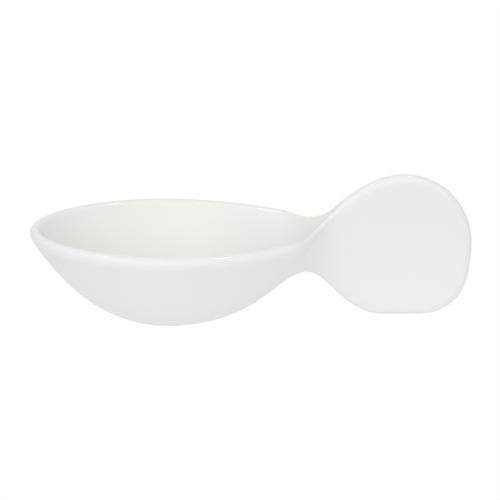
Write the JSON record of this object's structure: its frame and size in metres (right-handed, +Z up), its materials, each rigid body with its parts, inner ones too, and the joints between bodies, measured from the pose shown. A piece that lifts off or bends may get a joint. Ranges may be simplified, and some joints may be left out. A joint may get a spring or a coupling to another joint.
{
  "type": "amuse bouche spoon",
  "caption": "White glazed porcelain serving spoon for one bite: a leaf-shaped bowl with a level rim and an upright round disc as handle and rear foot.",
  "frame": {"origin": "on the table, under the middle of the spoon's length and width", "axes": "+X along the spoon from the bowl's tip towards the handle disc, +Z up, +Y across the bowl"},
  "size_m": [0.1196, 0.0466, 0.0404],
  "materials": {
    "bare_porcelain": "unglazed, fired matt",
    "fired_slip": "unglazed, fired matt",
    "white_glaze": "clear glossy glaze over white"
  },
  "bodies": {
    "root": {"bowl": "bare_porcelain", "handle": "bare_porcelain", "joint_slip": "fired_slip", "glaze": "white_glaze"}
  },
  "joints": []
}
